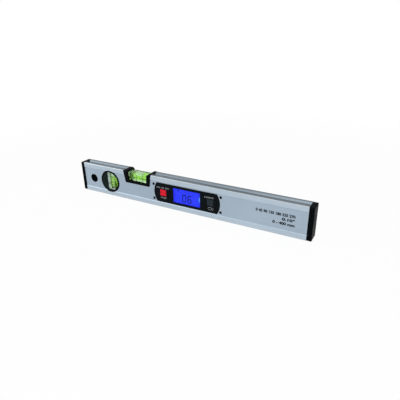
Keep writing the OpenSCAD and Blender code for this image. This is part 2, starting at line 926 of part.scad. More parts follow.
// Hollow beside the battery bay, with its stiffening ribs left standing
module case_hollow() {
    hollow_x = bay_l / 2 + case_t;
    pitch = (tray_l / 2 - hollow_x) / (case_rib_count + 1);
    difference() {
        block([hollow_x, bay_floor, -tray_h / 2], [tray_l / 2, case_y + cut, tray_h / 2]);
        for (i = [1 : case_rib_count])
            translate([hollow_x + i * pitch, 0, 0])
                block([-case_rib_t / 2, bay_floor - cut, -tray_h / 2 - cut],
                      [case_rib_t / 2, case_y + 2 * cut, tray_h / 2 + cut]);
    }
}

// Tray for the board in front, battery bay and two ribbed hollows behind
module module_case() {
    color("#1b1d20")
    difference() {
        union() {
            translate([display_x, 0, mid_z])
                difference() {
                    plate_y(case_l, case_h, -case_y, case_y);
                    plate_y(tray_l, tray_h, -case_y - cut, board_back);
                    plate_y(bay_l, bay_h, bay_floor, case_y + cut);
                    for (side = [-1, 1])
                        mirror([side > 0 ? 0 : 1, 0, 0])
                            case_hollow();
                }
            at_screws()
                rod_y(boss_r, -case_y, screw_tip + cut);
        }
        at_screws()
            rod_y(screw_r + film, -case_y - cut, screw_tip + fit);
        at_contacts()
            contact_tab(fit, board_back - cut);
    }
}

module bezel_screws() {
    color("#0e0f11")
    at_screws()
        screw(0, screw_l);
}

// Both cells lie at the spring end of the bay, nub towards the flat contact
module batteries() {
    start = -bay_l / 2 + contact_t + spring_l;
    color("#c9a63c")
    at_cells()
        union() {
            rod_x(cell_r, start, start + cell_l - nub_l);
            rod_x(nub_r, start + cell_l - nub_l - film, start + cell_l);
        }
}

// Points of a conical coil from the contact plate to the cell
function coil_radius(t) = spring_wide_r + (spring_cell_r - spring_wide_r) * t;
function coil_point(t, wire) = let (
    turn = 360 * spring_turns * t,
    x = spring_wire_r + fit + coil_pitch * spring_turns * t,
    r = coil_radius(t) + spring_wire_r * cos(wire)
) [x + spring_wire_r * sin(wire), r * cos(turn), r * sin(turn)];

// One unbroken tube of six sides round the coil's centre line
module coil_spring() {
    sides = 6;
    rings = ceil(8 * spring_turns);
    points = [
        for (i = [0 : rings], k = [0 : sides - 1])
            coil_point(i / rings, 360 * k / sides)
    ];
    last = rings * sides;
    start_cap = [for (k = [1 : sides - 2]) [0, k + 1, k]];
    end_cap = [for (k = [1 : sides - 2]) [last, last + k, last + k + 1]];
    walls = [
        for (i = [0 : rings - 1], k = [0 : sides - 1], half = [0, 1])
            let (
                a = i * sides + k,
                b = i * sides + (k + 1) % sides
            )
            half == 0 ? [a, b, a + sides] : [b, b + sides, a + sides]
    ];
    polyhedron(points = points, faces = concat(start_cap, end_cap, walls));
}

module battery_springs() {
    color("#c8c8cc")
    at_cells()
        translate([-bay_l / 2 + contact_t, 0, 0])
            coil_spring();
}

// Spring and cell contacts, each with a tab through the case to the back of the board
module battery_contacts() {
    color("#c8c8cc")
    at_contacts()
        union() {
            plate_x(contact_t, contact_w);
            contact_tab(0, board_back);
        }
}

// Door flush with the back panel, with grip ribs outside and two snap arms inside
module battery_door() {
    rib_pitch = 3;
    rib_w = 1;
    rib_l = door_h / 2;
    rib_x = door_w / 2 - 2 * rib_pitch;
    color("#1b1d20")
    translate([display_x, 0, mid_z])
        union() {
            plate_y(door_w, door_h, cavity_y, panel_y);
            for (i = [0 : grip_count - 1])
                translate([rib_x - i * rib_pitch, 0, 0])
                    plate_y(rib_w, rib_l, panel_y, panel_y + grip_h);
            for (side = [-1, 1])
                translate([0, 0, side * (snap_z + snap_t / 2)])
                    plate_y(snap_w, snap_t, cavity_y - snap_l, cavity_y);
        }
}

body_profile();
end_cap_left();
end_cap_right();
hang_hole_sleeve();
top_vial_holder();
top_vial_block();
top_vial_liquid();
top_vial_plug();
top_vial_lines();
top_vial_bubble();
plumb_housing_front();
plumb_housing_back();
plumb_vial_block();
plumb_vial_liquid();
plumb_vial_plug();
plumb_vial_lines();
plumb_vial_bubble();
front_bezel();
display_lens();
lcd_glass();
backlight_plate();
circuit_board();
switch_bodies();
power_button();
power_plunger();
light_button();
light_plunger();
tilt_sensor();
control_chip();
buzzer();
module_case();
bezel_screws();
batteries();
battery_springs();
battery_contacts();
battery_door();
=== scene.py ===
import json
import math

import bmesh
import bpy
from mathutils import Matrix, Quaternion, Vector

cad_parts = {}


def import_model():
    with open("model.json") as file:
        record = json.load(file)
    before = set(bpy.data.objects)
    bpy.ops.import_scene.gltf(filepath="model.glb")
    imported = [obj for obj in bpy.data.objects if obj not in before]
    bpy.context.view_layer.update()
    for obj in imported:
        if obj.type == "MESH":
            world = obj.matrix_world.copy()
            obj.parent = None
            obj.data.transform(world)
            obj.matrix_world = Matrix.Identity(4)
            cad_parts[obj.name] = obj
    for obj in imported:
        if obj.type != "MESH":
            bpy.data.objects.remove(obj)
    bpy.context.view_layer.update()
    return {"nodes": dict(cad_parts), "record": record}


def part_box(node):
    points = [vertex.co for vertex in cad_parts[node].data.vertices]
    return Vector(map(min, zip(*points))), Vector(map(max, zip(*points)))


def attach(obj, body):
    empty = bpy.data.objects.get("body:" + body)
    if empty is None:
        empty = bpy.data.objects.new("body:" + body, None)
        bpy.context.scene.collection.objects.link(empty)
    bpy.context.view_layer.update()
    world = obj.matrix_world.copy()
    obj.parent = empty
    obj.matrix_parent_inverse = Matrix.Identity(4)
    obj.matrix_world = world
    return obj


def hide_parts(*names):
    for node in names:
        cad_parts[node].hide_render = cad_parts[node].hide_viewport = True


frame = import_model()
NODES = frame["nodes"]
MM = 0.001

# Section of the extrusion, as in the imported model
SECTION_LOW, SECTION_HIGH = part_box("body_profile")
PANEL_DEPTH = 0.5 * MM
PANEL_FRONT = SECTION_LOW.y + PANEL_DEPTH
PANEL_BACK = SECTION_HIGH.y - PANEL_DEPTH
GROOVE_HALF_W = 5.0 * MM
RAIL_H = 7.0 * MM
ARRIS_W = 0.9 * MM

# Body names
LEVEL = "level_body"
TOP_BUBBLE = "top_bubble"
PLUMB_BUBBLE = "plumb_bubble"
DOOR = "door"

# Camera, solved from the edges of the box section
CAMERA_PLACE = Vector((292.7, -475.4, 269.5)) * MM
CAMERA_AIM = Vector((27.3, 0, 21.3)) * MM
CAMERA_ROLL = math.radians(-0.83)
CAMERA_LENS = 35.65
SENSOR_W = 36.0

# Linear colours
PANEL_GREY = (0.356, 0.437, 0.519)
RAIL_GREY = (0.440, 0.525, 0.602)
# Painted shade: the top and base faces darker than the sides
TOP_BASE_SHADE_GREY = (0.126, 0.160, 0.184)
# Painted highlight along the arrises, and the colour of fine scratches
ARRIS_HIGHLIGHT_AND_SCRATCH_GREY = (0.45, 0.51, 0.55)
# Painted shade on the sloped walls of the top groove
GROOVE_SHADE_GREY = (0.24, 0.29, 0.335)
SOFT_BLACK = (0.0026, 0.0033, 0.0042)
# Painted reflection of the white surroundings on the inner wall of the plumb window
WALL_REFLECTION_GREY = (0.024, 0.035, 0.035)
DOOR_BLACK = (0.014, 0.015, 0.017)
BEZEL_BLACK = (0.0045, 0.006, 0.007)
KEY_RED = (0.60, 0.008, 0.026)
KEY_GREY = (0.022, 0.031, 0.037)
INK = (0.010, 0.012, 0.016)
PRINT_WHITE = (0.30, 0.32, 0.33)
LCD_BLUE = (0.022, 0.040, 0.92)
LCD_DARK = (0.002, 0.003, 0.07)
LIME = (0.60, 0.92, 0.21)
ACRYLIC = (0.42, 0.62, 0.36)
PALE_ACRYLIC = (0.37, 0.46, 0.42)
BAND_GREEN = (0.035, 0.11, 0.02)
LIME_GLOW = (0.030, 0.062, 0.003)
# Painted shade: dark green ring where the top vial's plug meets the liquid
MENISCUS_SHADE_GREEN = (0.02, 0.075, 0.02)
LIT_RIM = (0.016, 0.028, 0.72)
LIT_SPOT = (0.10, 0.36, 1.0)
UNLIT_GLASS = (0.004, 0.006, 0.05)
BOARD_GREEN = (0.012, 0.11, 0.04)
TRACK_GREEN = (0.02, 0.19, 0.07)
CELL_BLACK = (0.014, 0.014, 0.016)
CELL_COPPER = (0.62, 0.27, 0.09)
CELL_STEEL = (0.62, 0.62, 0.60)
# Lighter edge colours of the plastics: part rubbed wear, part painted highlight
BLACK_WEAR_AND_SHEEN = (0.013, 0.015, 0.018)
BEZEL_WEAR_AND_SHEEN = (0.014, 0.016, 0.017)
DOOR_WEAR_AND_SHEEN = (0.05, 0.054, 0.058)
# Painted highlight on the edges of the top vial's dark ring
MENISCUS_RING_SHEEN = (0.03, 0.1, 0.03)
GUIDE_WEAR_AND_SHEEN = (0.9, 0.92, 0.95)
RED_WEAR_AND_SHEEN = (0.78, 0.05, 0.07)
KEY_WEAR_AND_SHEEN = (0.045, 0.056, 0.062)
ACRYLIC_GLOW = (0.006, 0.014, 0.002)
PLUG_TINT = (0.93, 0.97, 0.92)
BORE_TINT = (0.99, 1.0, 0.99)
BUBBLE_TINT = (0.5, 0.5, 0.5)
BUBBLE_GLOW = (0.30, 0.28, 0.60)
LENS_TINT = (0.97, 0.98, 1.0)
SEGMENT_DARK = (0.004, 0.005, 0.02)
GUIDE_WHITE = (0.8, 0.83, 0.9)
SWITCH_GREY = (0.08, 0.085, 0.095)
CHIP_BLACK = (0.02, 0.02, 0.022)
SCREW_BLACK = (0.008, 0.008, 0.010)
SPRING_STEEL = (0.62, 0.62, 0.64)
NICKEL = (0.60, 0.59, 0.56)
WORLD_TINT = (0.97, 0.99, 1.0)
FLOOR_GREY = (0.82, 0.82, 0.82)
WHITE = (1.0, 1.0, 1.0, 1.0)

# Refraction of the acrylic, of the liquid against it, and of the air against the liquid
ACRYLIC_IOR = 1.49
LIQUID_IOR = 0.915
BUBBLE_IOR = 0.75
# A plug in its bore hardly bends light
PLUG_IOR = 1.03
# Range that a noise texture mostly keeps to
NOISE_LOW = 0.3
NOISE_HIGH = 0.7
BEVEL_SAMPLES = 4


class Shade:
    """A material's Principled shader, with one short method for each kind of node used here."""

    def __init__(self, name, **constants):
        self.material = bpy.data.materials.new(name)
        self.material.use_nodes = True
        self.tree = self.material.node_tree
        self.shader = self.tree.nodes["Principled BSDF"]
        for socket, value in constants.items():
            self.put(self.shader.inputs[socket.replace("_", " ")], value)

    def put(self, socket, value):
        """Links a socket to another one, or sets it to a constant."""
        if isinstance(value, bpy.types.NodeSocket):
            self.tree.links.new(value, socket)
        elif socket.type == "RGBA" and len(value) == 3:
            socket.default_value = (*value, 1.0)
        else:
            socket.default_value = value

    def node(self, kind, inputs, **settings):
        """New node of a kind, with its inputs by name or number and its own settings."""
        made = self.tree.nodes.new("ShaderNode" + kind)
        for name, value in settings.items():
            setattr(made, name, value)
        for name, value in inputs.items():
            self.put(made.inputs[name], value)
        return made

    def place(self, stretch=(1, 1, 1)):
        """Point in metres from the object's origin, times stretch."""
        here = self.node("TexCoord", {}).outputs["Object"]
        return self.node("Mapping", {"Vector": here, "Scale": stretch}).outputs[0]

    def normal(self):
        return self.node("TexCoord", {}).outputs["Normal"]

    def split(self, vector):
        return self.node("SeparateXYZ", {0: vector}).outputs

    def noise(self, scale, stretch=(1, 1, 1), detail=3.0, roughness=0.5):
        """Noise with scale times stretch waves to a metre."""
        made = self.node("TexNoise", {"Vector": self.place(stretch), "Scale": scale,
                                      "Detail": detail, "Roughness": roughness})
        return made.outputs["Fac"]

    def cells(self, scale, stretch=(1, 1, 1)):
        """Distance to the middle of the nearest cell, with scale times stretch cells to a metre."""
        made = self.node("TexVoronoi", {"Vector": self.place(stretch), "Scale": scale})
        return made.outputs["Distance"]

    def math(self, operation, a, b=0.0):
        return self.node("Math", {0: a, 1: b}, operation=operation).outputs[0]

    def times(self, a, b):
        return self.math("MULTIPLY", a, b)

    def size(self, value):
        return self.math("ABSOLUTE", value)

    def ramp(self, value, low, high, start=0.0, end=1.0):
        """Value mapped smoothly from low..high to start..end, and clamped there."""
        limits = {"Value": value, "From Min": low, "From Max": high, "To Min": start, "To Max": end}
        return self.node("MapRange", limits, interpolation_type="SMOOTHSTEP").outputs[0]

    def mix(self, share, a, b):
        return self.node("Mix", {0: share, 6: a, 7: b}, data_type="RGBA").outputs[2]

    def spread(self, fac, start, end):
        """Noise mapped smoothly to start..end."""
        return self.ramp(fac, NOISE_LOW, NOISE_HIGH, start, end)

    def vary(self, colour, fac, low, high):
        """Colour times low..high, as a noise goes through its range."""
        level = self.node("MapRange", {"Value": fac, "From Min": NOISE_LOW, "From Max": NOISE_HIGH,
                                       "To Min": low, "To Max": high}).outputs[0]
        made = self.node("VectorMath", {0: colour, "Scale": level}, operation="SCALE")
        return made.outputs[0]

    def bump(self, height, distance, strength=1.0, under=None):
        """Normal tilted by a height from 0 to 1 that stands for a distance in metres."""
        inputs = {"Height": height, "Distance": distance, "Strength": strength}
        if under is not None:
            inputs["Normal"] = under
        return self.node("Bump", inputs).outputs[0]

    def rounded(self, radius):
        """Normal of the surface with its edges rounded off."""
        return self.node("Bevel", {"Radius": radius}, samples=BEVEL_SAMPLES).outputs[0]

    def edge(self, radius):
        """1 along sharp edges and 0 on flat faces, from how far the rounding turns the normal."""
        bent = self.rounded(radius)
        flat = self.node("NewGeometry", {}).outputs["Normal"]
        likeness = self.node("VectorMath", {0: bent, 1: flat}, operation="DOT_PRODUCT")
        return self.ramp(likeness.outputs["Value"], 0.995, 0.85)

    def surface(self, **inputs):
        """Fills the shader's inputs and hands out the finished material."""
        for socket, value in inputs.items():
            self.put(self.shader.inputs[socket.replace("_", " ")], value)
        return self.material


def extrusion_zones(s):
    """Masks of the section: rails, the top and base (milled, and darkened with painted shade), groove walls
    with painted shade, bevels of the panel, arrises with painted highlight.
    """
    half_h = (SECTION_HIGH.z - SECTION_LOW.z) / 2
    half_t = SECTION_HIGH.y
    flat, slant = (0.74, 0.78), (0.3, 0.5)
    blur, groove_blur, bevel_blur = 0.3 * MM, 0.1 * MM, 0.5 * MM
    _, ny, nz = s.split(s.normal())[:3]
    _, y, z = s.split(s.place())[:3]
    aside = s.size(y)
    level = s.size(s.math("SUBTRACT", z, half_h))
    upright = s.size(nz)
    rail = s.ramp(aside, half_t - 0.8 * PANEL_DEPTH, half_t - 0.5 * PANEL_DEPTH)
    # Top and base faces, which carry painted shade and the milling streaks
    milled_and_shaded = s.ramp(upright, *flat)
    slanted = s.ramp(s.math("MINIMUM", s.size(ny), upright), *slant)
    # Groove walls, darkened with painted shade
    groove_shade = s.times(s.ramp(aside, GROOVE_HALF_W + groove_blur, GROOVE_HALF_W - groove_blur), slanted)
    bevel = s.times(slanted, s.ramp(level, half_h - RAIL_H, half_h - RAIL_H - bevel_blur))
    # Arrises, lightened with painted highlight
    arris_highlight = s.times(slanted, s.ramp(level, half_h - ARRIS_W - blur, half_h - ARRIS_W))
    arris_highlight = s.times(arris_highlight, s.ramp(aside, half_t - ARRIS_W - blur, half_t - ARRIS_W))
    return rail, milled_and_shaded, groove_shade, s.times(bevel, rail), arris_highlight


def aluminium():
    """Satin extrusion: lengthwise drawing lines, pale rails, top and base darkened with painted shade,
    painted shade on the groove walls and painted highlights along the arrises.
    """
    s = Shade("satin_aluminium", Metallic=0.82)
    rail, milled_and_shaded, groove_shade, bevel, arris_highlight = extrusion_zones(s)
    # Lines and bands lie along X, so they have few waves that way
    lines = s.noise(1.0, (30, 2600, 2600), detail=5, roughness=0.65)
    bands = s.noise(1.0, (4, 330, 330), detail=3, roughness=0.6)
    clouds = s.noise(14.0, detail=3)
    grain = s.noise(2600.0, detail=2)
    colour = s.mix(rail, PANEL_GREY, RAIL_GREY)
    # Painted shade on the top, base and groove walls, painted highlight on the arrises
    zones = [(milled_and_shaded, TOP_BASE_SHADE_GREY), (groove_shade, GROOVE_SHADE_GREY), (bevel, PANEL_GREY), (arris_highlight, ARRIS_HIGHLIGHT_AND_SCRATCH_GREY)]
    for zone, grey in zones:
        colour = s.mix(zone, colour, grey)
    colour = s.vary(colour, lines, 0.94, 1.06)
    # The bands show on the top and base faces alone
    streaks = s.math("ADD", s.times(milled_and_shaded, s.math("SUBTRACT", bands, 0.5)), 0.5)
    colour = s.vary(colour, streaks, 0.62, 1.38)
    colour = s.vary(colour, clouds, 0.96, 1.04)
    # Fine scratches, in some places only
    scratches = s.ramp(s.noise(1.0, (160, 60, 5200), detail=1), 0.70, 0.76)
    scratches = s.times(scratches, s.ramp(clouds, 0.45, 0.7, 0.0, 0.5))
    colour = s.mix(s.times(scratches, 0.3), colour, ARRIS_HIGHLIGHT_AND_SCRATCH_GREY)
    height = s.math("ADD", s.times(lines, 0.7), s.times(grain, 0.3))
    return s.surface(Base_Color=colour, Roughness=s.ramp(lines, 0.25, 0.75, 0.30, 0.42),
                     Normal=s.bump(height, 0.012 * MM, 0.6, s.rounded(0.12 * MM)))


def moulded(name, colour, roughness=0.42, grain=0.02, wear_and_sheen=BLACK_WEAR_AND_SHEEN, radius=0.3, gloss=0.02, wall_reflection=None):
    """Moulded plastic: fine spark-eroded grain, faint flow clouds, and lighter edges that are part rubbed
    wear and part painted highlight.

    grain and radius are in millimetres. The wall colour is a painted reflection on the surfaces that run
    from front to back.
    """
    s = Shade(name, Specular_IOR_Level=gloss)
    fine = s.noise(2200.0, detail=3)
    clouds = s.noise(60.0, detail=4)
    smears = s.noise(1.0, (25, 90, 160), detail=4, roughness=0.6)
    # Edges lightened by wear and by painted highlight
    edges = s.times(s.edge(radius * MM), s.ramp(clouds, 0.35, 0.65, 0.25, 0.9))
    # Painted reflection on the surfaces that run from front to back
    if wall_reflection:
        reflecting_wall = s.ramp(s.size(s.split(s.normal())[1]), 0.6, 0.4)
        colour = s.mix(reflecting_wall, colour, wall_reflection)
    tone = s.vary(s.vary(colour, clouds, 0.86, 1.14), fine, 0.9, 1.1)
    tone = s.mix(edges, tone, wear_and_sheen)
    rough = s.math("ADD", s.spread(smears, -0.07, 0.07), roughness)
    return s.surface(Base_Color=tone, Roughness=rough,
                     Normal=s.bump(fine, grain * MM, 0.7, s.rounded(radius * MM)))


def clear(name, colour, ior, roughness=0.0, glow=(0, 0, 0)):
    """Clear acrylic or liquid: haze and polishing marks in a tinted, refracting surface that may glow."""
    s = Shade(name, Transmission_Weight=1.0, IOR=ior, Emission_Color=glow, Emission_Strength=1.0)
    haze = s.noise(500.0, detail=4)
    marks = s.noise(1.0, (900, 900, 120), detail=3)
    tint = s.vary(colour, s.noise(90.0, detail=2), 0.985, 1.015)
    return s.surface(Base_Color=tint, Roughness=s.ramp(haze, 0.45, 0.75, roughness, roughness + 0.01),
                     Normal=s.bump(marks, 0.001 * MM, 0.1))


def neutral(name, colour):
    """Clear surface that bends and mirrors no light: a coated lens, or a bore wall wetted by the liquid."""
    s = Shade(name, Transmission_Weight=1.0, IOR=1.0, Specular_IOR_Level=0.0)
    return s.surface(Base_Color=s.vary(colour, s.noise(90.0), 0.99, 1.01), Roughness=0.0)


def printed(name, colour):
    """Screen-printed ink: slightly uneven cover over a dull surface."""
    s = Shade(name, Specular_IOR_Level=0.1)
    cover = s.noise(1800.0, detail=3)
    tone = s.vary(colour, cover, 0.85, 1.2)
    return s.surface(Base_Color=tone, Roughness=s.spread(cover, 0.5, 0.7),
                     Normal=s.bump(cover, 0.01 * MM, 0.4))


def lit_blue():
    """Lit liquid crystal glass: blue, a little darker towards its edges, with a pale spot at the lamp."""
    low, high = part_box("lcd_glass")
    middle = (low + high) / 2
    half = (high - low) / 2
    spot_inset, spot_rise, spot_r, core_r = 1.9 * MM, 0.5 * MM, 3.0 * MM, 0.2 * MM
    # The spot is an upright oval, and the rim starts at this share of the way out
    oval, rim_start = 0.45, 0.72
    s = Shade("lcd_blue", Emission_Strength=1.0, Specular_IOR_Level=0.08)
    x, _, z = s.split(s.place())[:3]
    aside = s.size(s.math("DIVIDE", s.math("SUBTRACT", x, middle.x), half.x))
    above = s.size(s.math("DIVIDE", s.math("SUBTRACT", z, middle.z), half.z))
    rim = s.ramp(s.math("MAXIMUM", aside, above), rim_start, 1.0)
    spot_x = s.math("SUBTRACT", x, high.x - spot_inset)
    spot_z = s.times(s.math("SUBTRACT", z, middle.z + spot_rise), oval)
    squares = s.math("ADD", s.math("POWER", spot_x, 2.0), s.math("POWER", spot_z, 2.0))
    spot = s.ramp(s.math("POWER", squares, 0.5), spot_r, core_r)
    mottle = s.noise(220.0, detail=3)
    blue = s.vary(LCD_BLUE, mottle, 0.97, 1.03)
    blue = s.mix(rim, blue, LIT_RIM)
    blue = s.mix(spot, blue, LIT_SPOT)
    return s.surface(Base_Color=s.vary(UNLIT_GLASS, mottle, 0.9, 1.1), Emission_Color=blue, Roughness=0.25)


def plain_metal(name, colour, roughness, scale=1400.0):
    """Bare or plated small metal parts: drawing marks, stains and slight unevenness."""
    s = Shade(name, Metallic=1.0)
    marks = s.noise(scale, detail=3)
    stains = s.noise(scale / 14, detail=3)
    tone = s.vary(s.vary(colour, marks, 0.9, 1.1), stains, 0.85, 1.08)
    return s.surface(Base_Color=tone, Roughness=s.spread(stains, roughness, roughness + 0.15),
                     Normal=s.bump(marks, 0.01 * MM, 0.5, s.rounded(0.08 * MM)))


def solder_mask():
    """Green lacquer over copper tracks, which show as paler lines."""
    s = Shade("board_green", Coat_Weight=0.4, Coat_Roughness=0.25)
    tracks = s.ramp(s.cells(420.0, (1, 0.2, 1)), 0.32, 0.36)
    tone = s.mix(tracks, BOARD_GREEN, TRACK_GREEN)
    tone = s.vary(tone, s.noise(900.0), 0.9, 1.1)
    return s.surface(Base_Color=tone, Roughness=0.35, Normal=s.bump(tracks, 0.02 * MM, 0.6))


def cell_sleeve():
    """Shrink sleeve of a battery cell: copper colour at the nub end, black over the rest, bare ends."""
    low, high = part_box("batteries")
    # Limits of the copper, of the bare nub and of the bare foot, in shares of the cell's length
    copper_band, nub_band, foot_band = (0.66, 0.665), (0.967, 0.969), (0.014, 0.012)
    s = Shade("cell_sleeve", Coat_Weight=0.3, Coat_Roughness=0.15)
    x, _, z = s.split(s.place())[:3]
    upper = s.math("GREATER_THAN", z, (low.z + high.z) / 2)
    lower = s.math("SUBTRACT", 1.0, upper)
    along = s.math("DIVIDE", s.math("SUBTRACT", x, low.x), high.x - low.x)
    flipped = s.math("SUBTRACT", 1.0, along)
    share = s.math("ADD", s.times(upper, flipped), s.times(lower, along))
    copper = s.ramp(share, *copper_band)
    bare = s.math("MAXIMUM", s.ramp(share, *nub_band), s.ramp(share, *foot_band))
    tone = s.mix(copper, CELL_BLACK, CELL_COPPER)
    tone = s.mix(bare, tone, CELL_STEEL)
    tone = s.vary(tone, s.noise(1.0, (600, 90, 90)), 0.9, 1.08)
    return s.surface(Base_Color=tone, Metallic=s.math("MAXIMUM", bare, s.times(copper, 0.85)),
                     Roughness=s.spread(s.noise(120.0), 0.22, 0.36))


MATERIALS = {
    "body_aluminium": aluminium(),
    "cap_black": moulded("cap_black", SOFT_BLACK, roughness=0.38, gloss=0.008),
    "housing_black": moulded("housing_black", SOFT_BLACK, roughness=0.48, grain=0.03),
    "vial_acrylic": clear("vial_acrylic", ACRYLIC, ACRYLIC_IOR, glow=ACRYLIC_GLOW),
    "plumb_acrylic": clear("plumb_acrylic", PALE_ACRYLIC, ACRYLIC_IOR),
    "vial_liquid": clear("vial_liquid", LIME, LIQUID_IOR, glow=LIME_GLOW),
    "clear_acrylic": clear("clear_acrylic", PLUG_TINT, PLUG_IOR, roughness=0.12),
    "line_ink": printed("line_ink", BAND_GREEN),
    "bubble_air": clear("bubble_air", BUBBLE_TINT, BUBBLE_IOR, glow=BUBBLE_GLOW),
    "bezel_black": moulded("bezel_black", BEZEL_BLACK, roughness=0.33, grain=0.012, wear_and_sheen=BEZEL_WEAR_AND_SHEEN,
                           radius=0.2),
    "lens_clear": neutral("lens_clear", LENS_TINT),
    "lcd_blue": lit_blue(),
    "light_guide": moulded("light_guide", GUIDE_WHITE, roughness=0.4, grain=0.01, wear_and_sheen=GUIDE_WEAR_AND_SHEEN,
                           gloss=0.4),
    "board_green": solder_mask(),
    "switch_grey": moulded("switch_grey", SWITCH_GREY, roughness=0.45, gloss=0.3),
    "key_red": moulded("key_red", KEY_RED, roughness=0.38, grain=0.012, wear_and_sheen=RED_WEAR_AND_SHEEN, radius=0.4,
                       gloss=0.1),
    "key_grey": moulded("key_grey", KEY_GREY, roughness=0.42, grain=0.015, wear_and_sheen=KEY_WEAR_AND_SHEEN, radius=0.4),
    "chip_black": moulded("chip_black", CHIP_BLACK, roughness=0.5, gloss=0.3),
    "screw_black": plain_metal("screw_black", SCREW_BLACK, roughness=0.38),
    "cell_wrap": cell_sleeve(),
    "spring_steel": plain_metal("spring_steel", SPRING_STEEL, roughness=0.22, scale=3000.0),
    "contact_nickel": plain_metal("contact_nickel", NICKEL, roughness=0.28),
}

# Nodes whose look differs from that of the others in their slot: the plumb window's housing, with a painted
# reflection on its inner wall
OWN_LOOKS = dict.fromkeys(
    ("plumb_housing_front", "plumb_housing_back"),
    moulded("window_black_wall_reflection", SOFT_BLACK, roughness=0.48, grain=0.03, wall_reflection=WALL_REFLECTION_GREY))


def finish_cad_nodes():
    """Gives each CAD node its own material, or that of its slot in the record."""
    for part in frame["record"]["subparts"]:
        node = NODES[part["node"]]
        if not node.material_slots:
            node.data.materials.append(None)
        for slot in node.material_slots:
            slot.material = OWN_LOOKS.get(part["node"], MATERIALS[part["material_slot"]])


def piece(name, bm, body, slot, replaces=(), materials=None):
    """A mesh object from bm that rides on a body, takes the material of a slot unless materials are given,
    and may replace CAD nodes.
    """
    mesh = bpy.data.meshes.new(name)
    bm.to_mesh(mesh)
    bm.free()
    made = bpy.data.objects.new(name, mesh)
    bpy.context.scene.collection.objects.link(made)
    for material in materials or [MATERIALS[slot]]:
        mesh.materials.append(material)
    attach(made, body)
    if replaces:
        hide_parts(*replaces)
    return made


def smooth(made, angle=35):
    """Smooth shading, apart from edges sharper than an angle in degrees."""
    made.data.shade_smooth()
    made.data.set_sharp_from_angle(angle=math.radians(angle))
    return made


def rounded_box(bm, low, high, radius, segments=3):
    """Adds a box with rounded edges between two corners."""
    corners = bmesh.ops.create_cube(bm, size=1.0)["verts"]
    size = high - low
    for v in corners:
        v.co = low + Vector(((v.co.x + 0.5) * size.x, (v.co.y + 0.5) * size.y, (v.co.z + 0.5) * size.z))
    edges = list({e for v in corners for e in v.link_edges})
    bmesh.ops.bevel(bm, geom=edges, offset=radius, segments=segments, affect="EDGES", profile=0.5)


def circle(steps):
    """Points of a unit circle, as (x, y)."""
    return [(math.cos(2 * math.pi * i / steps), math.sin(2 * math.pi * i / steps)) for i in range(steps)]


def lathe(bm, profile, turn, centre, steps=64, inward=False, material=0):
    """Surface swept round an axis. profile is (along, radius) points; turn rotates +Z to the axis."""
    rings = []
    for along, radius in profile:
        if not radius:
            rings.append([bm.verts.new(centre + turn @ Vector((0, 0, along)))])
            continue
        points = (Vector((radius * x, radius * y, along)) for x, y in circle(steps))
        rings.append([bm.verts.new(centre + turn @ point) for point in points])
    for one, two in zip(rings, rings[1:]):
        for i in range(steps):
            j = (i + 1) % steps
            if len(one) == 1:
                corners = [one[0], two[j], two[i]]
            elif len(two) == 1:
                corners = [one[i], one[j], two[0]]
            else:
                corners = [one[i], one[j], two[j], two[i]]
            face = bm.faces.new(corners[::-1] if inward else corners)
            face.material_index = material


ALONG_X = Matrix.Rotation(math.radians(90), 3, "Y")
AGAINST_X = Matrix.Rotation(math.radians(-90), 3, "Y")
ALONG_Z = Matrix.Identity(3)
TO_BACK = Matrix.Rotation(math.radians(-90), 3, "X")


def barrel_profile(length, radius, crown, steps=14):
    """Closed half outline of a barrel about its middle: flat ends and bulging sides."""
    shares = [2 * i / steps - 1 for i in range(steps + 1)]
    side = [(length * share / 2, radius - crown * share ** 2) for share in shares]
    return [(-length / 2, 0.0)] + side + [(length / 2, 0.0)]


BORE_CROWN = 0.25 * MM
# Clearance between a bore and its liquid
WET_FILM = 0.05 * MM
VIAL_EDGE_R = 0.35 * MM
# Film of air between a vial block and its seat, which mirrors light inside the block
AIR_GAP = 0.05 * MM
WET_BORE = neutral("wet_bore", BORE_TINT)


def vial(prefix, axis, turn, acrylic):
    """A clear block with a wetted barrel bore along an axis (0 is X, 2 is Z), and the liquid in it."""
    low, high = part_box(prefix + "_vial_block")
    wet_low, wet_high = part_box(prefix + "_vial_liquid")
    centre = (wet_low + wet_high) / 2
    length = (wet_high - wet_low)[axis]
    radius = (wet_high - wet_low)[1] / 2
    seat = Vector((AIR_GAP if axis == 0 else 0, 0, AIR_GAP))
    block = bmesh.new()
    rounded_box(block, low + seat, high - seat, VIAL_EDGE_R)
    profile = barrel_profile(length + 2 * WET_FILM, radius + WET_FILM, BORE_CROWN)
    lathe(block, profile, turn, centre, inward=True, material=1)
    smooth(piece(prefix + "_vial_acrylic_block", block, LEVEL, acrylic, [prefix + "_vial_block"],
                 [MATERIALS[acrylic], WET_BORE]))
    spirit = bmesh.new()
    lathe(spirit, barrel_profile(length, radius, BORE_CROWN), turn, centre)
    smooth(piece(prefix + "_vial_spirit", spirit, LEVEL, "vial_liquid", [prefix + "_vial_liquid"]))
    return centre, radius


def ball(bm):
    """Points of a fine unit ball, added to bm."""
    return bmesh.ops.create_icosphere(bm, subdivisions=5, radius=1.0)["verts"]


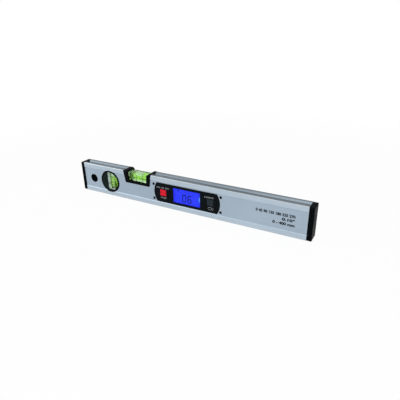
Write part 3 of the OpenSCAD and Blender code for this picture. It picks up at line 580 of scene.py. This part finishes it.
def top_bubble(centre, bore_r):
    """Long flat bubble that rests against the crown of the bore."""
    low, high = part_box("top_vial_bubble")
    middle = (low + high) / 2
    half_l = (high.x - low.x) / 2
    depth, half_w = 1.45 * MM, 4.3 * MM
    bluntness, crown_rise = 0.8, 1.25
    level = high.z - centre.z - depth
    limit = bore_r - BORE_CROWN
    bm = bmesh.new()
    for v in ball(bm):
        x = math.copysign(abs(v.co.x) ** bluntness, v.co.x) * half_l
        y = v.co.y * half_w
        z = level + v.co.z * depth * (1.0 if v.co.z < 0 else crown_rise)
        reach = math.hypot(y, z)
        if reach > limit:
            y, z = y * limit / reach, z * limit / reach
        v.co = Vector((middle.x + x, centre.y + y, centre.z + z))
    smooth(piece("top_vial_air", bm, TOP_BUBBLE, "bubble_air", ["top_vial_bubble"]), angle=80)


def plumb_bubble():
    """Upright bubble with domed ends, a little narrower at its top."""
    low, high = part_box("plumb_vial_bubble")
    middle = (low + high) / 2
    radius = (high.x - low.x) / 2
    half_l = (high.z - low.z) / 2
    taper = 0.12
    bm = bmesh.new()
    for v in ball(bm):
        width = radius * (1.0 - taper * max(v.co.z, 0.0))
        v.co = middle + Vector((v.co.x * width, v.co.y * width, v.co.z * half_l))
    smooth(piece("plumb_vial_air", bm, PLUMB_BUBBLE, "bubble_air", ["plumb_vial_bubble"]), angle=80)


def meniscus_shade_ring(centre, radius):
    """Dark green ring on the inner end of the top vial's plug: painted shade for the dark edge of the
    meniscus where plug and liquid meet.
    """
    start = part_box("top_vial_plug")[1].x - centre.x
    outer, inner, width = radius - 0.35 * MM, radius - 1.25 * MM, 0.7 * MM
    bm = bmesh.new()
    end = start + width
    section = [(start, inner), (start, outer), (end, outer), (end, inner), (start, inner)]
    lathe(bm, section, ALONG_X, centre)
    bmesh.ops.remove_doubles(bm, verts=bm.verts, dist=0.01 * MM)
    bmesh.ops.recalc_face_normals(bm, faces=bm.faces)
    shade_ring = moulded("meniscus_shade_green", MENISCUS_SHADE_GREEN, roughness=0.5, wear_and_sheen=MENISCUS_RING_SHEEN)
    smooth(piece("top_vial_meniscus_shade", bm, LEVEL, "vial_liquid", materials=[shade_ring]))


def vials():
    """Both vials, each with its bubble, and the ring of painted shade that shows in the top one."""
    centre, radius = vial("top", 0, ALONG_X, "vial_acrylic")
    meniscus_shade_ring(centre, radius)
    top_bubble(centre, radius)
    vial("plumb", 2, ALONG_Z, "plumb_acrylic")
    plumb_bubble()


# Lit segments of each digit, from the top one clockwise, with the middle one last
LIT_BARS = {"0": "abcdef", "6": "acdefg"}
# Ends of each segment, in shares of the digit's width and height
BAR_ENDS = {
    "a": ((0, 1), (1, 1)), "b": ((1, 0.5), (1, 1)), "c": ((1, 0), (1, 0.5)), "d": ((0, 0), (1, 0)),
    "e": ((0, 0), (0, 0.5)), "f": ((0, 0.5), (0, 1)), "g": ((0, 0.5), (1, 0.5)),
}
DIGIT_W = 5.8 * MM
DIGIT_H = 11.2 * MM
DIGIT_SLANT = 0.07
BAR_T = 1.6 * MM
BAR_GAP = 0.12 * MM
MARK_T = 0.03 * MM


def bar(bm, start, end, y, thickness):
    """Flat six-sided bar between two points of the display plane."""
    along = (end - start).normalized()
    side = Vector((-along.y, along.x)) * thickness / 2
    tip = along * thickness / 2
    outline = [start, start + tip + side, end - tip + side, end, end - tip - side, start + tip - side]
    bm.faces.new([bm.verts.new((p.x, y, p.y)) for p in outline])


def solidify(bm, depth):
    """Gives flat faces a thickness towards the front."""
    faces = list(bm.faces)
    made = bmesh.ops.extrude_face_region(bm, geom=faces)
    for v in (g for g in made["geom"] if isinstance(g, bmesh.types.BMVert)):
        v.co.y -= depth
    bmesh.ops.recalc_face_normals(bm, faces=bm.faces)


def digit(bm, value, corner, y):
    """Slanted seven-segment digit with its lower left end at corner, in the display plane."""
    for name in LIT_BARS[value]:
        start, end = (Vector((x * DIGIT_W, z * DIGIT_H)) for x, z in BAR_ENDS[name])
        trim = (end - start).normalized() * BAR_GAP
        ends = [corner + Vector((p.x + p.y * DIGIT_SLANT, p.y)) for p in (start + trim, end - trim)]
        bar(bm, *ends, y, BAR_T)


def display_marks():
    """Dark digits and small signs of the display, in the gap between glass and lens."""
    low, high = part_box("lcd_glass")
    lens_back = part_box("display_lens")[1].y
    y = (low.y + lens_back) / 2 + 0.02 * MM
    middle = (low + high) / 2

    def at(x, z):
        """Point of the display plane, x and z millimetres from its middle."""
        return Vector((middle.x + x * MM, middle.z + z * MM))

    bm = bmesh.new()
    foot = -8.2
    digit(bm, "0", at(-8.0, foot), y)
    digit(bm, "6", at(1.7, foot), y)
    # Three short bars at the upper left, an arrow below them, and two slanted strokes over the digits
    for z in (7.4, 8.5, 9.6):
        bar(bm, at(-17.0, z), at(-13.6, z), y, 0.5 * MM)
    arrow = [(0, 0), (1.5, 1.2), (2.3, 1.2), (0.8, 0), (2.3, -1.2), (1.5, -1.2)]
    points = [at(x - 21.8, z + 1.6) for x, z in arrow]
    bm.faces.new([bm.verts.new((p.x, y, p.y)) for p in points])
    for side in (-1, 1):
        bar(bm, at(1.2 + side * 2.4, 7.2), at(1.2 + side * 3.4, 9.6), y, 0.6 * MM)
    solidify(bm, MARK_T)
    piece("display_marks", bm, LEVEL, "lcd_blue", materials=[display_ink()])


def display_ink():
    """Dark segments of the display, which let a little of the blue through."""
    s = Shade("display_ink", Roughness=0.5, Specular_IOR_Level=0.05)
    tone = s.vary(LCD_DARK, s.noise(700.0), 0.85, 1.15)
    return s.surface(Base_Color=SEGMENT_DARK, Emission_Color=tone, Emission_Strength=1.0)


PRINT_DEPTH = 0.015 * MM
# Height of a capital letter, as a share of the font's size
LETTER_SHARE = 0.72


def lettering(name, words, place, height, width, ink, bold, align="LEFT"):
    """Printed words on a face that looks along -Y. place is the left or right end of the base line.

    bold is how far the strokes grow, as a share of the height.
    """
    curve = bpy.data.curves.new(name + "_outline", "FONT")
    curve.body = words
    curve.size = height / LETTER_SHARE
    curve.align_x = align
    curve.offset = bold * height
    curve.extrude = PRINT_DEPTH / 2
    source = bpy.data.objects.new(name + "_outline", curve)
    bpy.context.scene.collection.objects.link(source)
    bpy.context.view_layer.update()
    flat = source.evaluated_get(bpy.context.evaluated_depsgraph_get())
    mesh = bpy.data.meshes.new_from_object(flat)
    bpy.data.objects.remove(source)
    xs = [v.co.x for v in mesh.vertices]
    stretch = width / (max(xs) - min(xs))
    for v in mesh.vertices:
        v.co = Vector((v.co.x * stretch, -v.co.z, v.co.y)) + place
    made = bpy.data.objects.new(name, mesh)
    bpy.context.scene.collection.objects.link(made)
    mesh.materials.clear()
    mesh.materials.append(ink)
    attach(made, LEVEL)
    return made


def panel_print():
    """Plain numbers on the right half of the panel."""
    y = PANEL_FRONT - PRINT_DEPTH / 2
    right, height, drop, bold = 176.0 * MM, 4.0 * MM, 1.9 * MM, 0.075
    ink = printed("panel_ink", INK)
    # Words, height of their middle above the base, and width
    lines = [("0 45 90 135 180 225 270", 31.0, 56.0), ("0.10°", 24.5, 18.0), ("0 - 400 mm", 18.0, 31.0)]
    for i, (words, z, width) in enumerate(lines):
        lettering(f"panel_print_{i + 1}", words, Vector((right, y, z * MM - drop)), height, width * MM,
                  ink, bold, "RIGHT")


def bezel_print():
    """Pale words over and under the two keys, and a lamp sign under the grey one."""
    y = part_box("front_bezel")[0].y - PRINT_DEPTH / 2
    height, above, below, bold = 2.1 * MM, 1.4 * MM, 3.4 * MM, 0.02
    ink = printed("bezel_ink", PRINT_WHITE)
    red_low, red_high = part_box("power_button")
    grey_low, grey_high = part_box("light_button")
    top = red_high.z + above
    # Words, place of their left end, and width
    words = [
        ("ON", red_low.x - 5.2 * MM, top, 6.2),
        ("OFF", red_low.x + 3.6 * MM, top, 4.9),
        ("SET", red_low.x + 10.9 * MM, top, 6.7),
        ("MODE", red_low.x + 1.6 * MM, red_low.z - below, 10.0),
        ("LIGHT", grey_low.x - 3.2 * MM, grey_high.z + above, 15.0),
    ]
    for i, (word, x, z, width) in enumerate(words):
        lettering(f"bezel_print_{i + 1}", word, Vector((x, y, z)), height, width * MM,
                  ink, bold)
    lamp_sign(Vector(((grey_low.x + grey_high.x) / 2, y, grey_low.z - below)), ink)


def lamp_sign(centre, ink):
    """Outline of a lamp with three rays, printed under the light key."""
    half_w, half_h, line = 3.2 * MM, 2.1 * MM, 0.45 * MM
    ray_start, ray_l, ray_gap, ray_spread = 4.3, 1.5, 1.4, 0.4
    bm = bmesh.new()
    outer, inner = ([bm.verts.new(centre + Vector(((half_w + grow) * x, 0, (half_h + grow) * z)))
                     for x, z in circle(28)] for grow in (line / 2, -line / 2))
    for i in range(len(outer)):
        bm.faces.new([outer[i - 1], outer[i], inner[i], inner[i - 1]])
    for rise in (-ray_gap, 0.0, ray_gap):
        start = Vector((centre.x, centre.z)) + Vector((ray_start, rise)) * MM
        bar(bm, start, start + Vector((ray_l, rise * ray_spread)) * MM, centre.y, line)
    solidify(bm, PRINT_DEPTH / 2)
    piece("bezel_lamp_sign", bm, LEVEL, "bezel_black", materials=[ink])


SCREW_HEAD_R = 2.2 * MM
SCREW_STEPS = 40
# How far a screw's head lies below the bezel side of its node
HEAD_SUNK = 0.02 * MM


def screws():
    """Countersunk screws with a cross recess, in place of the plain ones."""
    low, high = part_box("bezel_screws")
    cone, shank_r, shank_end, tip = 1.0 * MM, 0.9 * MM, 6.2 * MM, 7.0 * MM
    shape = [(HEAD_SUNK, SCREW_HEAD_R), (cone, shank_r), (shank_end, shank_r), (tip, 0.0)]
    bm = bmesh.new()
    for x in (low.x + SCREW_HEAD_R, high.x - SCREW_HEAD_R):
        for z in (low.z + SCREW_HEAD_R, high.z - SCREW_HEAD_R):
            centre = Vector((x, low.y, z))
            lathe(bm, shape, TO_BACK, centre, SCREW_STEPS, inward=True)
            cross_head(bm, centre)
    bmesh.ops.remove_doubles(bm, verts=bm.verts, dist=0.004 * MM)
    bmesh.ops.recalc_face_normals(bm, faces=bm.faces)
    smooth(piece("bezel_screw_set", bm, LEVEL, "screw_black", ["bezel_screws"]), angle=30)


def cross_head(bm, centre):
    """Round face with a cross sunk into it."""
    reach, blade, depth, taper = 1.35 * MM, 0.27 * MM, 0.75 * MM, 0.75
    arms = [(blade, blade), (blade, reach), (-blade, reach), (-blade, blade),
            (-reach, blade), (-reach, -blade), (-blade, -blade), (-blade, -reach),
            (blade, -reach), (blade, -blade), (reach, -blade), (reach, blade)]
    rim = [bm.verts.new(centre + Vector((SCREW_HEAD_R * x, HEAD_SUNK, SCREW_HEAD_R * z)))
           for x, z in circle(SCREW_STEPS)]
    mouth = [bm.verts.new(centre + Vector((x, 0, z))) for x, z in arms]
    floor = [bm.verts.new(centre + Vector((x * taper, depth, z * taper))) for x, z in arms]
    edges = [bm.edges.new((a, b)) for ring in (rim, mouth) for a, b in zip(ring, ring[1:] + ring[:1])]
    bmesh.ops.triangle_fill(bm, use_beauty=True, edges=edges)
    for i in range(len(arms)):
        j = (i + 1) % len(arms)
        bm.faces.new([mouth[i], mouth[j], floor[j], floor[i]])
    bm.faces.new(floor[::-1])


CELL_GAP = 0.2 * MM
# Outline of a cell from its flat end to its nub, as (along, radius) in millimetres
CELL_OUTLINE = [
    (0, 0), (0, 3.4), (0.15, 3.7), (0.15, 4.7), (0.0, 5.0), (0.12, 5.2), (0.5, 5.25),
    (43.0, 5.25), (43.35, 5.15), (43.5, 4.9), (43.35, 4.6), (43.2, 4.3), (43.2, 2.6),
    (43.3, 2.1), (43.4, 1.9), (44.2, 1.9), (44.42, 1.75), (44.5, 1.5), (44.5, 0),
]


def cell_axes():
    """Depth of both cell axes, and the height of the lower and of the upper one."""
    low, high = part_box("batteries")
    radius = (high.z - low.z - CELL_GAP) / 4
    return (low.y + high.y) / 2, low.z + radius, high.z - radius


def cells():
    """Two round cells with rolled rims and a nub, in place of the plain ones."""
    low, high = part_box("batteries")
    y, lower, upper = cell_axes()
    shape = [(along * MM, radius * MM) for along, radius in CELL_OUTLINE]
    for name, z, start, turn in (("upper", upper, high.x, AGAINST_X), ("lower", lower, low.x, ALONG_X)):
        bm = bmesh.new()
        lathe(bm, shape, turn, Vector((start, y, z)), steps=72)
        bmesh.ops.recalc_face_normals(bm, faces=bm.faces)
        smooth(piece(f"cell_{name}", bm, LEVEL, "cell_wrap", ["batteries"]), angle=30)


def springs():
    """Two conical coils of round wire between contacts and cells, in place of the faceted ones."""
    low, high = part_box("battery_springs")
    y, lower, upper = cell_axes()
    wire, wide, narrow, turns = 0.3 * MM, 3.4 * MM, 2.2 * MM, 2.5
    length = 3.8 * MM - 2 * wire
    rings, sides = 100, 10
    bm = bmesh.new()
    for start, z, way in ((low.x, lower, 1), (high.x, upper, -1)):
        tube = []
        for i in range(rings + 1):
            share = i / rings
            turn = 2 * math.pi * turns * share
            reach = wide + (narrow - wide) * share
            ring = []
            for out, along in circle(sides):
                x = wire + length * share + wire * along
                r = reach + wire * out
                ring.append(bm.verts.new((start + way * x, y + r * math.cos(turn), z + r * math.sin(turn))))
            tube.append(ring)
        for one, two in zip(tube, tube[1:]):
            for k in range(sides):
                bm.faces.new([one[k - 1], one[k], two[k], two[k - 1]])
        bm.faces.new(tube[0])
        bm.faces.new(tube[-1][::-1])
    bmesh.ops.recalc_face_normals(bm, faces=bm.faces)
    smooth(piece("battery_coils", bm, LEVEL, "spring_steel", ["battery_springs"]), angle=50)


DOOR_T = 1.5 * MM


def door_ribs(bm, low, high):
    """Four upright grip ribs near the right end of the door."""
    first, pitch, half_w, sunk, edge_r = 6.0 * MM, 3.0 * MM, 0.5 * MM, 0.3 * MM, 0.14 * MM
    middle_z, half_h = (low.z + high.z) / 2, (high.z - low.z) / 4
    for i in range(4):
        x = high.x - first - pitch * i
        rounded_box(bm, Vector((x - half_w, PANEL_BACK - sunk, middle_z - half_h)),
                    Vector((x + half_w, high.y, middle_z + half_h)), edge_r)


def door_hooks(bm, low, high):
    """Two flat hooks inside the door, near its lower and its upper edge."""
    inset, half_l, half_t, overlap, edge_r = 1.7 * MM, 4.0 * MM, 0.4 * MM, 0.2 * MM, 0.12 * MM
    x = (low.x + high.x) / 2
    for z in (low.z + inset, high.z - inset):
        rounded_box(bm, Vector((x - half_l, low.y, z - half_t)),
                    Vector((x + half_l, PANEL_BACK - DOOR_T + overlap, z + half_t)), edge_r)


def door_arrow(bm, low, high):
    """Raised arrow near the left end of the door, with its tip towards that end."""
    inset, length, half_w, lift = 7.0 * MM, 4.5 * MM, 3.4 * MM, 0.1 * MM
    tip = Vector((low.x + inset, (low.z + high.z) / 2))
    corners = [tip, tip + Vector((length, half_w)), tip + Vector((length, -half_w))]
    front = [bm.verts.new((p.x, high.y - lift, p.y)) for p in corners]
    foot = [bm.verts.new((p.x, PANEL_BACK - lift, p.y)) for p in corners]
    bm.faces.new(front)
    for i in range(3):
        j = (i + 1) % 3
        bm.faces.new([front[j], front[i], foot[i], foot[j]])
    bm.faces.new(foot[::-1])


def door():
    """Battery door with softened edges, raised grip ribs and an arrow, in place of the plain one."""
    low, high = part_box("battery_door")
    bm = bmesh.new()
    rounded_box(bm, Vector((low.x, PANEL_BACK - DOOR_T, low.z)), Vector((high.x, PANEL_BACK, high.z)),
                0.4 * MM)
    door_ribs(bm, low, high)
    door_hooks(bm, low, high)
    door_arrow(bm, low, high)
    bmesh.ops.recalc_face_normals(bm, faces=bm.faces)
    plastic = moulded("door_black", DOOR_BLACK, roughness=0.5, grain=0.03, wear_and_sheen=DOOR_WEAR_AND_SHEEN, radius=0.35,
                      gloss=0.22)
    smooth(piece("battery_lid", bm, DOOR, "housing_black", ["battery_door"], [plastic]), angle=40)


def see_white(tree):
    """Socket that is 1 for camera, glossy and transmission rays."""
    path = tree.nodes.new("ShaderNodeLightPath")
    total = path.outputs["Is Camera Ray"]
    for name in ("Is Glossy Ray", "Is Transmission Ray"):
        either = tree.nodes.new("ShaderNodeMath")
        either.operation = "MAXIMUM"
        tree.links.new(total, either.inputs[0])
        tree.links.new(path.outputs[name], either.inputs[1])
        total = either.outputs[0]
    return total


WORLD_LEVEL = 0.42
FLOOR_SIZE = 6.0
FLOOR_GAP = 0.02 * MM
# Share of the floor's own shading that shows near the level, out to where it is full and where it ends
FLOOR_SHADE = 0.06
SHADE_FULL = 0.35
SHADE_END = 0.9


def world():
    """White studio that lights softly, and is plain white wherever it is seen."""
    made = bpy.data.worlds.new("studio")
    bpy.context.scene.world = made
    made.use_nodes = True
    tree = made.node_tree
    tree.nodes.clear()
    soft = tree.nodes.new("ShaderNodeBackground")
    soft.inputs["Strength"].default_value = WORLD_LEVEL
    soft.inputs["Color"].default_value = (*WORLD_TINT, 1.0)
    white = tree.nodes.new("ShaderNodeBackground")
    choice = tree.nodes.new("ShaderNodeMixShader")
    out = tree.nodes.new("ShaderNodeOutputWorld")
    white.inputs["Color"].default_value = WHITE
    tree.links.new(see_white(tree), choice.inputs[0])
    tree.links.new(soft.outputs[0], choice.inputs[1])
    tree.links.new(white.outputs[0], choice.inputs[2])
    tree.links.new(choice.outputs[0], out.inputs[0])


def floor():
    """Wide plane under the base face. Where it is seen it is white, with a very faint shadow on it."""
    bm = bmesh.new()
    bmesh.ops.create_grid(bm, x_segments=1, y_segments=1, size=FLOOR_SIZE)
    mesh = bpy.data.meshes.new("floor")
    bm.to_mesh(mesh)
    bm.free()
    made = bpy.data.objects.new("floor", mesh)
    bpy.context.scene.collection.objects.link(made)
    made.location.z = -FLOOR_GAP
    s = Shade("floor_white", Roughness=0.9, Specular_IOR_Level=0.0)
    tree = s.tree
    s.surface(Base_Color=s.vary(FLOOR_GREY, s.noise(30.0), 0.995, 1.005))
    glow = tree.nodes.new("ShaderNodeEmission")
    glow.inputs["Color"].default_value = WHITE
    place = s.node("VectorMath", {0: s.place()}, operation="LENGTH").outputs["Value"]
    shade = s.ramp(place, SHADE_END, SHADE_FULL, 0.0, FLOOR_SHADE)
    amount = s.times(see_white(tree), s.math("SUBTRACT", 1.0, shade))
    choice = tree.nodes.new("ShaderNodeMixShader")
    tree.links.new(amount, choice.inputs[0])
    tree.links.new(s.shader.outputs[0], choice.inputs[1])
    tree.links.new(glow.outputs[0], choice.inputs[2])
    tree.links.new(choice.outputs[0], tree.nodes["Material Output"].inputs[0])
    mesh.materials.append(s.material)


# Name, place, side length and power of each lamp
LAMPS = [
    ("key_lamp", (0.75, -1.35, 0.95), 1.1, 17.0),
    ("fill_lamp", (-1.2, -0.9, 0.8), 1.1, 7.0),
    ("top_lamp", (0.1, 0.5, 1.5), 1.2, 6.0),
]
LAMP_AIM = Vector((0, 0, 0.025))


def lamp(name, place, size, power):
    """Square soft lamp that faces the middle of the level."""
    data = bpy.data.lights.new(name, "AREA")
    data.size = size
    data.energy = power
    made = bpy.data.objects.new(name, data)
    bpy.context.scene.collection.objects.link(made)
    made.location = place
    aim = LAMP_AIM - made.location
    made.rotation_euler = aim.to_track_quat("-Z", "Y").to_euler()


def camera():
    """Camera of the photo."""
    data = bpy.data.cameras.new("camera")
    data.sensor_width = SENSOR_W
    data.lens = CAMERA_LENS
    made = bpy.data.objects.new("camera", data)
    bpy.context.scene.collection.objects.link(made)
    made.location = CAMERA_PLACE
    made.rotation_mode = "QUATERNION"
    aim = (CAMERA_AIM - CAMERA_PLACE).to_track_quat("-Z", "Y")
    made.rotation_quaternion = aim @ Quaternion((0, 0, 1), CAMERA_ROLL)
    bpy.context.scene.camera = made


camera()
world()
floor()
for name, place, size, power in LAMPS:
    lamp(name, place, size, power)
finish_cad_nodes()
vials()
display_marks()
panel_print()
bezel_print()
screws()
cells()
springs()
door()
bpy.context.scene.view_settings.view_transform = "Standard"
